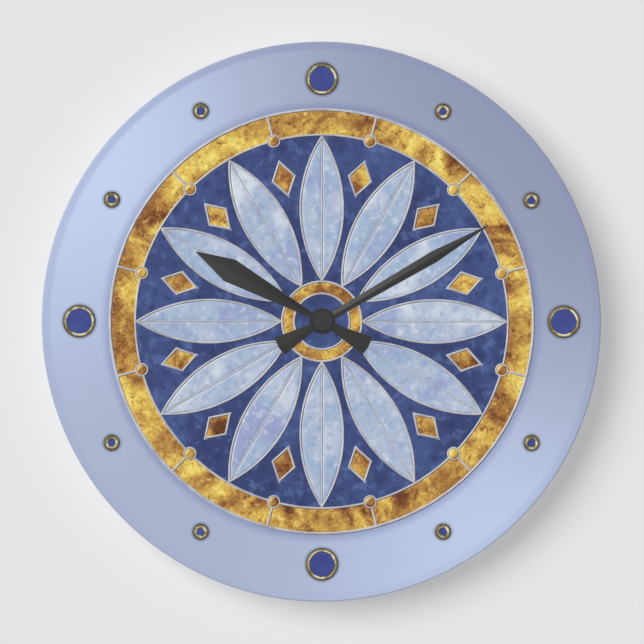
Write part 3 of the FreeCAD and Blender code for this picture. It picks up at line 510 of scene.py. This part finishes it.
def acrylic_paint():
    """Cast acrylic over the film's white back. Its flame-polished edge shows the film's colour, with its
    painted sheen, a little darker.
    """
    paint = Paint("clear_acrylic", IOR=1.49, Coat_Weight=0.6, Coat_Roughness=0.06)
    radius, angle = paint.polar()
    marks = paint.noise(1.2 * MM, 2.0, 0.6, stretch=(1, 0.15, 1))
    drift = paint.noise(30 * MM, 1.0)
    back = paint.mix(paint.step(drift, 0.3, 0.7), srgb(214, 219, 232), srgb(222, 227, 238))
    # The edge takes the film's painted sheen of sectors, a little darker
    rim = paint.mix(0.35, sectors(paint, radius, angle, marks), srgb(140, 146, 168))
    at_rim = paint.step(radius, FILM_RADIUS - 0.3 * MM, FILM_RADIUS)
    paint.put("Base Color", paint.mix(at_rim, back, rim))
    paint.put("Roughness", paint.mix_numbers(marks, 0.10, 0.24))
    return paint.finished(marks, 0.008 * MM, 0.3)


def copper_paint():
    """Enamelled copper wire, wound round the X axis, with a painted highlight on each turn and painted
    shade between turns.
    """
    paint = Paint("copper_wire", Metallic=1.0, Coat_Weight=0.4)
    turn_width = 1.25 * MM
    inputs = {"Vector": paint.place.outputs["Object"], "Scale": 1 / turn_width}
    wave = paint.node("ShaderNodeTexWave", inputs, wave_type="BANDS", bands_direction="X")
    turns = wave.outputs[0]
    # Each turn is painted lighter on its crown and darker in the groove beside the next
    paint.put("Base Color", paint.mix(turns, srgb(120, 58, 30), srgb(206, 122, 72)))
    paint.put("Roughness", paint.mix_numbers(turns, 0.45, 0.28))
    return paint.finished(turns, 0.05 * MM, 0.8)


def jacket_paint():
    """The cell's printed jacket: dark grey, with a silver band at the button's end."""
    paint = Paint("battery_jacket", IOR=1.5, Coat_Weight=0.5, Coat_Roughness=0.15)
    parts = paint.node("ShaderNodeSeparateXYZ", {0: paint.place.outputs["Object"]})
    band_start = JACKET_END - SILVER_BAND
    band = paint.step(parts.outputs[0], band_start - BAND_BLUR, band_start)
    scuff = paint.noise(4 * MM, 3.0, 0.6)
    dark = paint.mix(scuff, srgb(46, 50, 60), srgb(58, 62, 74))
    silver = paint.mix(scuff, srgb(168, 172, 178), srgb(188, 190, 196))
    paint.put("Base Color", paint.mix(band, dark, silver))
    paint.put("Roughness", paint.mix_numbers(scuff, 0.22, 0.38))
    return paint.finished(scuff, 0.01 * MM, 0.3)


def board_paint():
    """Green lacquer over copper tracks."""
    paint = Paint("board_green", IOR=1.5)
    tracks_per_metre = 260.0
    inputs = {"Vector": paint.place.outputs["Object"], "Scale": tracks_per_metre}
    tracks = paint.node("ShaderNodeTexBrick", inputs).outputs[1]
    fine = paint.noise(0.9 * MM)
    paint.put("Base Color", paint.mix(tracks, srgb(22, 84, 44), srgb(42, 116, 60)))
    paint.put("Roughness", paint.mix_numbers(fine, 0.28, 0.42))
    return paint.finished(tracks, 0.03 * MM, 0.4)


# Meshes: a part is a list of points and a list of faces

def spot(radius, degrees):
    """The point on the disc's face at this distance from the axis and clock angle."""
    turn = math.radians(degrees)
    return Vector((radius * math.sin(turn), FACE, radius * math.cos(turn)))


def piece(name, parts, material, node, uv=None):
    """One object from several parts, riding on the clock's body in place of a CAD node."""
    points, faces = [], []
    for part_points, part_faces in parts:
        start = len(points)
        points += part_points
        faces += [[start + index for index in face] for face in part_faces]
    mesh = bpy.data.meshes.new(name)
    mesh.from_pydata([tuple(point) for point in points], [], faces)
    mesh.validate()
    made = bpy.data.objects.new(name, mesh)
    bpy.context.scene.collection.objects.link(made)
    mesh.materials.append(material)
    for polygon in mesh.polygons:
        polygon.use_smooth = True
    if uv:
        layer = mesh.uv_layers.new(name="UVMap")
        for loop in mesh.loops:
            layer.data[loop.index].uv = uv[loop.vertex_index]
    mesh.set_sharp_from_angle(angle=math.radians(SHARP_EDGE))
    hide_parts(node)
    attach(made, "clock_body")


def grid_faces(rows, columns, closed_rows=False, closed_columns=False):
    """The faces of a grid of points, whose first and last rows or columns may join up."""
    faces = []
    for row in range(rows if closed_rows else rows - 1):
        for column in range(columns if closed_columns else columns - 1):
            below, right = (row + 1) % rows, (column + 1) % columns
            faces.append([row * columns + column, row * columns + right,
                          below * columns + right, below * columns + column])
    return faces


def loop_faces(first, second, count):
    """The faces between two loops of this many points, which start at these numbers."""
    return [[first + step, first + (step + 1) % count, second + (step + 1) % count, second + step]
            for step in range(count)]


def flipped(part):
    """The same points, with every face turned over."""
    points, faces = part
    return points, [list(reversed(face)) for face in faces]


def turned(part, degrees):
    """A copy, turned clockwise about the hands' axis."""
    points, faces = part
    turn = math.radians(degrees)
    cosine, sine = math.cos(turn), math.sin(turn)
    moved = [Vector((p.x * cosine + p.z * sine, p.y, p.z * cosine - p.x * sine)) for p in points]
    return moved, faces


def around(part, offset_share=0.0):
    """Copies round the rosette, turned by a share of the step between them."""
    return [turned(part, (index + offset_share) * 360 / PETALS) for index in range(PETALS)]


def circle_path(radius, steps, centre=(0.0, 0.0)):
    """A closed circle of points round a centre at this distance from the axis and clock angle."""
    middle = spot(*centre)
    turns = [2 * math.pi * index / steps for index in range(steps)]
    return [Vector((middle.x + radius * math.sin(t), FACE, middle.z + radius * math.cos(t))) for t in turns]


def straight_path(start, end, steps):
    """The points that cut a straight line into steps, with both its ends."""
    return [start.lerp(end, step / steps) for step in range(steps + 1)]


def ribbon(path, width, closed, rise=LEAD_RISE):
    """A half-round line of leading along a flat path of points."""
    count = len(path)
    points = []
    for index, centre in enumerate(path):
        before = path[(index - 1) % count] if closed or index else centre
        after = path[(index + 1) % count] if closed or index < count - 1 else centre
        along = (after - before).normalized()
        side = Vector((along.z, 0, -along.x)) * width / 2
        foot = Vector((centre.x, FACE, centre.z))
        points.append(foot - side)
        for share in RIBBON_SHARES:
            top = FILM - rise * math.sqrt(1 - share * share)
            points.append(Vector((centre.x, top, centre.z)) + side * share)
        points.append(foot + side)
    columns = len(RIBBON_SHARES) + 2
    faces = grid_faces(count, columns, closed_rows=closed, closed_columns=True)
    if not closed:
        last_row = (count - 1) * columns
        faces += [list(range(columns)), [last_row + column for column in reversed(range(columns))]]
    return points, faces


def dome(surface, rows, columns, rise, inset_share=0.16):
    """A closed pane that swells away from its edges, over this share of its size.

    Surface(u, v) gives its places for u and v from 0 to 1.
    """
    points = []
    for row in range(rows):
        for column in range(columns):
            u, v = row / (rows - 1), column / (columns - 1)
            away = min(u, 1 - u, v, 1 - v) / inset_share
            swell = math.sin(min(1.0, away) * math.pi / 2)
            base = surface(u, v)
            points.append(Vector((base.x, FILM - rise * swell, base.z)))
    faces = grid_faces(rows, columns)
    edge = list(range(columns))
    edge += [row * columns + columns - 1 for row in range(1, rows)]
    edge += [(rows - 1) * columns + column for column in reversed(range(columns - 1))]
    edge += [row * columns for row in reversed(range(1, rows - 1))]
    start, count = len(points), len(edge)
    points += [Vector((points[index].x, FACE, points[index].z)) for index in edge]
    for index in range(count):
        after = (index + 1) % count
        faces.append([edge[after], edge[index], start + index, start + after])
    faces.append([start + index for index in reversed(range(count))])
    return points, faces


# The rosette's pieces, each at 12

def leaf_arc(half_width, half_length):
    """The radius of the two arcs that bound a leaf."""
    return (half_length ** 2 + half_width ** 2) / (2 * half_width)


def leaf_width(share, half_width, half_length):
    """Half the width of a leaf, at this share of its half length from the middle."""
    arc = leaf_arc(half_width, half_length)
    return math.sqrt(arc ** 2 - (share * half_length) ** 2) - (arc - half_width)


def leaf_end(width, half_width, half_length):
    """The share of a leaf's half length at which half its width is down to this."""
    arc = leaf_arc(half_width, half_length)
    return math.sqrt(arc ** 2 - (width + arc - half_width) ** 2) / half_length


def petal_path():
    """The middle of the lead round a petal, as one closed path."""
    shares = [math.sin(math.pi / 2 * (2 * i / (PETAL_STEPS - 1) - 1)) for i in range(PETAL_STEPS)]
    half_length = PETAL_HALF - LEAD / 2
    half_width = PETAL_WIDTH / 2 - LEAD / 2
    right = [Vector((leaf_width(share, half_width, half_length), FACE, PETAL_MIDDLE + share * half_length))
             for share in shares]
    left = [Vector((-point.x, FACE, point.z)) for point in reversed(right[1:-1])]
    return right + left


def petal_pane(side):
    """One half of a petal's glass, between the vein and the lead. Side is 1 or -1."""
    half_length = PETAL_HALF - LEAD * 1.6
    half_width = PETAL_WIDTH / 2 - LEAD
    end = leaf_end(VEIN / 2 + PANE_TIP, half_width, half_length)

    def surface(u, v):
        share = end * math.sin(math.pi / 2 * (2 * u - 1))
        outer = leaf_width(share, half_width, half_length)
        across = VEIN / 2 + (outer - VEIN / 2) * v
        return Vector((side * across, 0, PETAL_MIDDLE + share * half_length))

    pane = dome(surface, PETAL_PANE_ROWS, PANE_COLUMNS, PANE_RISE)
    return pane if side > 0 else flipped(pane)


def lozenge_corners(inset):
    """The top, right, bottom and left corner of a lozenge drawn this far inside the full one."""
    half_length, half_width = LOZENGE_LENGTH / 2, LOZENGE_WIDTH / 2
    share = 1 - inset * math.hypot(half_length, half_width) / (half_length * half_width)
    corners = [(0, half_length), (half_width, 0), (0, -half_length), (-half_width, 0)]
    return [Vector((x * share, FACE, LOZENGE_RADIUS + z * share)) for x, z in corners]


def lozenge_path():
    """The middle of the lead round a lozenge, as one closed path."""
    corners = lozenge_corners(LEAD / 2)
    path = []
    for start, end in zip(corners, corners[1:] + corners[:1]):
        path += straight_path(start, end, LOZENGE_SIDE_STEPS)[:-1]
    return path


def lozenge_pane():
    """A lozenge's pane, which rises all the way to its middle."""
    top, right, bottom, left = lozenge_corners(LEAD)

    def surface(u, v):
        return top.lerp(right, v).lerp(left.lerp(bottom, v), u)

    return flipped(dome(surface, PANE_COLUMNS, PANE_COLUMNS, PANE_RISE * 1.6, inset_share=0.5))


def band_pane(start, end, inner, outer, rows):
    """A pane of a ring between two clock angles and two radii."""
    def surface(u, v):
        return spot(inner + (outer - inner) * v, start + (end - start) * u)

    return flipped(dome(surface, rows, BAND_PANE_COLUMNS, PANE_RISE))


def bead():
    """A small round dome on the gold band's inner edge."""
    middle = spot(BEAD_CIRCLE, 0)
    points = [Vector((middle.x, FILM - BEAD_RISE, middle.z))]
    for ring in range(1, BEAD_RINGS + 1):
        lean = math.pi / 2 * ring / BEAD_RINGS
        away, height = BEAD_RADIUS * math.sin(lean), BEAD_RISE * math.cos(lean)
        for step in range(BEAD_STEPS):
            turn = 2 * math.pi * step / BEAD_STEPS
            points.append(Vector((middle.x + away * math.sin(turn), FILM - height,
                                  middle.z + away * math.cos(turn))))
    faces = [[0, 1 + (step + 1) % BEAD_STEPS, 1 + step] for step in range(BEAD_STEPS)]
    loops = [1 + ring * BEAD_STEPS for ring in range(BEAD_RINGS + 1)]
    edge, foot = loops[-2:]
    points += [Vector((point.x, FACE, point.z)) for point in points[edge:foot]]
    for first, second in zip(loops, loops[1:]):
        faces += loop_faces(first, second, BEAD_STEPS)
    faces.append(list(range(foot, foot + BEAD_STEPS)))
    return points, faces


def marker_ring(degrees, sizes):
    """The raised rim of an hour marker, with its own coordinates for the paint."""
    outer, inner = sizes
    middle = spot(MARKER_CIRCLE, degrees)
    points, uv = [], []
    for step in range(RING_STEPS):
        turn = 2 * math.pi * step / RING_STEPS
        # How much a place belongs to one of the rim's three painted reflections
        in_reflection = 0.5 + 0.5 * math.cos(3 * (turn - math.radians(REFLECTION_STRETCH)))
        direction = Vector((math.sin(turn), 0, math.cos(turn)))
        for share, height in zip(RING_SHARES, RING_HEIGHTS):
            radius = outer + (inner - outer) * share
            points.append(Vector((middle.x, FILM - RING_RISE * height, middle.z)) + direction * radius)
            uv.append((share, in_reflection))
        for share, radius in ((1.0, inner), (0.0, outer)):
            points.append(middle + direction * radius)
            uv.append((share, in_reflection))
    faces = grid_faces(RING_STEPS, len(RING_SHARES) + 2, closed_rows=True, closed_columns=True)
    return (points, faces), uv


def build_leading():
    """All lines of lead: four circles, bars, petals with their veins, lozenges and beads."""
    parts = [ribbon(circle_path(ROSETTE_RADIUS - RIM_LEAD / 2, RIM_STEPS), RIM_LEAD, True),
             ribbon(circle_path(BAND_RADIUS - LEAD / 2, BAND_STEPS), LEAD, True),
             ribbon(circle_path(ROUNDEL_RADIUS - LEAD / 2, ROUNDEL_STEPS), LEAD, True),
             ribbon(circle_path(ROUNDEL_HOLE + LEAD / 2, ROUNDEL_STEPS), LEAD, True)]
    bar_start, bar_end = spot(BAND_RADIUS - LEAD / 2, 0), spot(ROSETTE_RADIUS - RIM_LEAD / 2, 0)
    parts += around(ribbon(straight_path(bar_start, bar_end, BAR_STEPS), LEAD, False), 0.5)
    parts += around(ribbon(petal_path(), LEAD, True))
    vein = straight_path(spot(PETAL_INNER + LEAD, 0), spot(PETAL_OUTER - LEAD, 0), VEIN_STEPS)
    parts += around(ribbon(vein, VEIN, False, LEAD_RISE * 0.8))
    parts += around(ribbon(lozenge_path(), LEAD, True), 0.5)
    round_bead = circle_path(BEAD_RADIUS + LEAD / 4, BEAD_LEAD_STEPS, (BEAD_CIRCLE, 0))
    parts += around(ribbon(round_bead, LEAD * 0.8, True, LEAD_RISE * 1.3), 0.5)
    piece("leading", parts, lead_paint(), "dial_print_outlines")


def build_gold():
    """All that is gold inside the rosette: the band, the roundel, lozenges and beads."""
    half_angle = 180 / PETALS - math.degrees(LEAD / 2 / BAND_RADIUS)
    outer = ROSETTE_RADIUS - RIM_LEAD
    parts = around(band_pane(-half_angle, half_angle, BAND_RADIUS, outer, BAND_PANE_ROWS))
    for start in (0, 90, 180, 270):
        end = start + 90 - QUARTER_GAP
        inner, outer = ROUNDEL_HOLE + LEAD, ROUNDEL_RADIUS - LEAD
        parts.append(band_pane(start, end, inner, outer, QUARTER_PANE_ROWS))
    parts += around(lozenge_pane(), 0.5)
    parts += around(bead(), 0.5)
    piece("gold_panes", parts, gold_paint(), "dial_print_gold")


def build_petals():
    parts = around(petal_pane(1)) + around(petal_pane(-1))
    piece("petal_panes", parts, petal_paint(), "dial_print_petals")


def build_marker_rings():
    parts, uv = [], []
    for hour in range(12):
        part, part_uv = marker_ring(hour * 30, SMALL_MARKER if hour % 3 else QUARTER_MARKER)
        parts.append(part)
        uv += part_uv
    piece("marker_rims", parts, ring_paint(), "hour_marker_rings", uv)


# Dressing the CAD nodes

def dress(material, *names):
    """Gives the nodes this material alone."""
    for name in names:
        slots = NODES[name].data.materials
        slots.clear()
        slots.append(material)


def soften(*names):
    """Rounds the hard edges of nodes a little. Their faces are joined first."""
    for name in names:
        weld = NODES[name].modifiers.new("joined_faces", "WELD")
        weld.merge_threshold = JOINED
        bevel = NODES[name].modifiers.new("soft_edges", "BEVEL")
        bevel.width = SOFT_EDGE
        bevel.segments = 2
        bevel.limit_method = "ANGLE"
        bevel.angle_limit = math.radians(HARD_EDGE)


def dress_dial():
    dress(ground_paint(), "dial_print_ground")
    dress(field_paint("print_field", srgb(50, 62, 106), srgb(66, 82, 132), 0.60), "dial_print_field")
    dress(field_paint("print_marker_blue", srgb(56, 67, 132), srgb(62, 73, 138), 0.20),
          "hour_marker_centres")
    dress(acrylic_paint(), "dial_disc")


def dress_hands():
    # The hour hand's slopes are painted darker towards the hub, as shade under the minute hand
    dress(hand_paint("hour_hand_black", 47, (46, 59), (39, 52), HOUR_HAND_ANGLE, HOUR_HAND_REACH),
          "hour_hand")
    dress(hand_paint("minute_hand_black", 47, (82, 58), (51, 44), MINUTE_HAND_ANGLE, MINUTE_HAND_REACH),
          "minute_hand")
    dress(moulded("cap_black", srgb(47, 48, 49), srgb(53, 53, 54), 0.6 * MM, 0.48, 0.25), "cap_nut")
    soften("hour_hand", "minute_hand", "cap_nut")


def dress_plastics():
    dress(moulded("case_black", srgb(30, 30, 32), srgb(38, 38, 40)),
          "movement_case", "movement_back_cover")
    dress(moulded("knob_black", srgb(36, 36, 38), srgb(46, 46, 48), 0.5 * MM, 0.42), "setting_knob")
    dress(moulded("gear_white", srgb(226, 224, 216), srgb(216, 213, 202), 0.9 * MM, 0.40),
          "rotor_pinion", "intermediate_wheel", "seconds_wheel", "third_wheel", "centre_wheel",
          "motion_wheel", "hour_wheel")
    dress(moulded("bridge_grey", srgb(96, 98, 104), srgb(110, 112, 118)), "train_bridge", "coil_bobbin")
    dress(moulded("black_rubber", srgb(24, 24, 24), srgb(32, 32, 32), 1.0 * MM, 0.75), "rubber_gasket")
    dress(moulded("chip_resin", srgb(14, 14, 16), srgb(22, 22, 24), 0.8 * MM, 0.25), "control_chip")


def dress_metals():
    dress(metal("zinc_steel", srgb(176, 178, 180), srgb(150, 153, 158), 0.34, (1, 1, 0.08)),
          "hanger_bracket", "dial_washer", "movement_screws", "clutch_washer")
    dress(metal("turned_brass", srgb(206, 174, 104), srgb(180, 146, 82), 0.28, (1, 4, 1)),
          "dial_nut", "threaded_bushing", "minute_arbor")
    dress(metal("motor_iron", srgb(126, 126, 130), srgb(104, 104, 110), 0.42, (0.08, 1, 1)),
          "stator_plate", "coil_core")
    dress(metal("magnet_grey", srgb(66, 66, 70), srgb(82, 82, 86), 0.5), "rotor_magnet")
    dress(metal("bright_tin", srgb(206, 206, 202), srgb(188, 188, 184), 0.24, (1, 1, 0.1)),
          "quartz_crystal", "battery_contact_positive", "battery_contact_negative", "battery_cell")


def dress_nodes():
    dress_dial()
    dress_hands()
    dress_plastics()
    dress_metals()
    dress(copper_paint(), "coil_winding")
    dress(board_paint(), "circuit_board")
    dress(jacket_paint(), "battery_sleeve")


# Stage, lamps and camera

def wall_paint():
    """Matt near-white paint on the front only. Lamps and metal's reflections pass through it."""
    paint = Paint("wall", Roughness=0.9, IOR=1.3)
    drift = paint.noise(0.5)
    paint.put("Base Color", paint.mix(drift, srgb(228, 228, 229), srgb(230, 230, 230)))
    clear = paint.tree.nodes.new("ShaderNodeBsdfTransparent")
    back = paint.tree.nodes.new("ShaderNodeNewGeometry").outputs["Backfacing"]
    path = paint.tree.nodes.new("ShaderNodeLightPath")
    passing = paint.maths("MAXIMUM", path.outputs["Is Shadow Ray"], path.outputs["Is Glossy Ray"])
    inputs = {0: paint.maths("MAXIMUM", back, passing), 1: paint.shader.outputs[0], 2: clear.outputs[0]}
    mixed = paint.node("ShaderNodeMixShader", inputs)
    paint.tree.links.new(mixed.outputs[0], paint.output.inputs[0])
    return paint.material


def build_stage():
    """A pale wall behind the clock, which is seen from its front only."""
    points = [(-WALL_HALF, WALL_GAP, -WALL_HALF), (WALL_HALF, WALL_GAP, -WALL_HALF),
              (WALL_HALF, WALL_GAP, WALL_HALF), (-WALL_HALF, WALL_GAP, WALL_HALF)]
    mesh = bpy.data.meshes.new("wall")
    mesh.from_pydata(points, [], [(0, 1, 2, 3)])
    made = bpy.data.objects.new("wall", mesh)
    bpy.context.scene.collection.objects.link(made)
    mesh.materials.append(wall_paint())


def sun(name, lateral, height, forward, share, spread):
    """A distant soft lamp that shines from this direction."""
    lamp = bpy.data.lights.new(name, "SUN")
    lamp.angle = math.radians(spread)
    made = bpy.data.objects.new(name, lamp)
    bpy.context.scene.collection.objects.link(made)
    towards = Vector((lateral, -forward, height)).normalized()
    made.rotation_mode = "QUATERNION"
    made.rotation_quaternion = towards.to_track_quat("Z", "Y")
    lamp.energy = share * math.pi / abs(towards.y)
    return made


def seen_only(lamp):
    """This lamp lights only the surfaces that the viewer sees directly."""
    lamp.data.use_nodes = True
    tree = lamp.data.node_tree
    path = tree.nodes.new("ShaderNodeLightPath")
    first_hit = tree.nodes.new("ShaderNodeMath")
    first_hit.operation = "LESS_THAN"
    first_hit.inputs[1].default_value = 1.5
    tree.links.new(path.outputs["Ray Depth"], first_hit.inputs[0])
    tree.links.new(first_hit.outputs[0], tree.nodes["Emission"].inputs["Strength"])
    lamp.data.cycles.use_multiple_importance_sampling = False


def spare_hands(lamp):
    """The hands don't block this lamp, so that it throws no shadow of them on the dial."""
    spared = bpy.data.collections.new("spared_by_" + lamp.name)
    for name in ("hour_hand", "minute_hand", "cap_nut", "minute_arbor", "hour_wheel", "dial_nut",
                 "dial_washer", "threaded_bushing"):
        spared.objects.link(NODES[name])
    lamp.light_linking.blocker_collection = spared
    for member in spared.collection_objects:
        member.light_linking.link_state = "EXCLUDE"


def camera_side():
    """The direction from the dial towards the camera, a little to the left and below."""
    turn, rise = math.radians(CAMERA_AZIMUTH), math.radians(CAMERA_ELEVATION)
    return Vector((math.sin(turn) * math.cos(rise), -math.cos(turn) * math.cos(rise), math.sin(rise)))


def build_lamps():
    turn = math.radians(KEY_SIDE)
    key = sun("key", KEY_LEAN * math.cos(turn), KEY_LEAN * math.sin(turn), 1.0, KEY_SHARE, KEY_SPREAD)
    spare_hands(key)
    viewer = camera_side()
    front = sun("front", viewer.x, viewer.z, -viewer.y, FRONT_SHARE, FRONT_SPREAD)
    front.visible_glossy = False
    for name, lateral, height in (("rear_left", -0.7, 0.5), ("rear_right", 0.8, 0.35)):
        seen_only(sun(name, lateral, height, -1.0, REAR_SHARE, REAR_SPREAD))


def build_world():
    """Faint light from all round, which looks bright to the viewer and in metal and glass."""
    world = bpy.data.worlds.new("world")
    bpy.context.scene.world = world
    world.use_nodes = True
    tree = world.node_tree
    background = tree.nodes["Background"]
    background.inputs[0].default_value = (1.0, 1.0, 1.0, 1.0)
    path = tree.nodes.new("ShaderNodeLightPath")
    looking = path.outputs["Is Camera Ray"]
    for kind in ("Is Glossy Ray", "Is Transmission Ray"):
        either = tree.nodes.new("ShaderNodeMath")
        either.operation = "MAXIMUM"
        tree.links.new(looking, either.inputs[0])
        tree.links.new(path.outputs[kind], either.inputs[1])
        looking = either.outputs[0]
    level = tree.nodes.new("ShaderNodeMapRange")
    level.inputs[3].default_value = WORLD_SHARE
    level.inputs[4].default_value = WORLD_SEEN
    tree.links.new(looking, level.inputs[0])
    tree.links.new(level.outputs[0], background.inputs[1])


def build_camera():
    """A long lens, framed so that the disc has its size in the photograph."""
    data = bpy.data.cameras.new("camera")
    data.lens = LENS
    data.sensor_width = SENSOR
    made = bpy.data.objects.new("camera", data)
    bpy.context.scene.collection.objects.link(made)
    frame_width = 2 * DIAL_RADIUS * IMAGE_SIZE / DISC_DIAMETER_PX
    distance = frame_width * LENS / SENSOR
    towards = camera_side()
    made.location = Vector((0, FACE, 0)) + towards * distance
    made.rotation_mode = "QUATERNION"
    made.rotation_quaternion = (-towards).to_track_quat("-Z", "Y")
    data.shift_y = -DISC_ABOVE_MIDDLE_PX / IMAGE_SIZE
    data.clip_start = distance * 0.01
    data.clip_end = distance * 100
    bpy.context.scene.camera = made


build_stage()
build_lamps()
build_world()
build_camera()
dress_nodes()
build_leading()
build_gold()
build_petals()
build_marker_rings()
bpy.context.scene.view_settings.view_transform = "Standard"
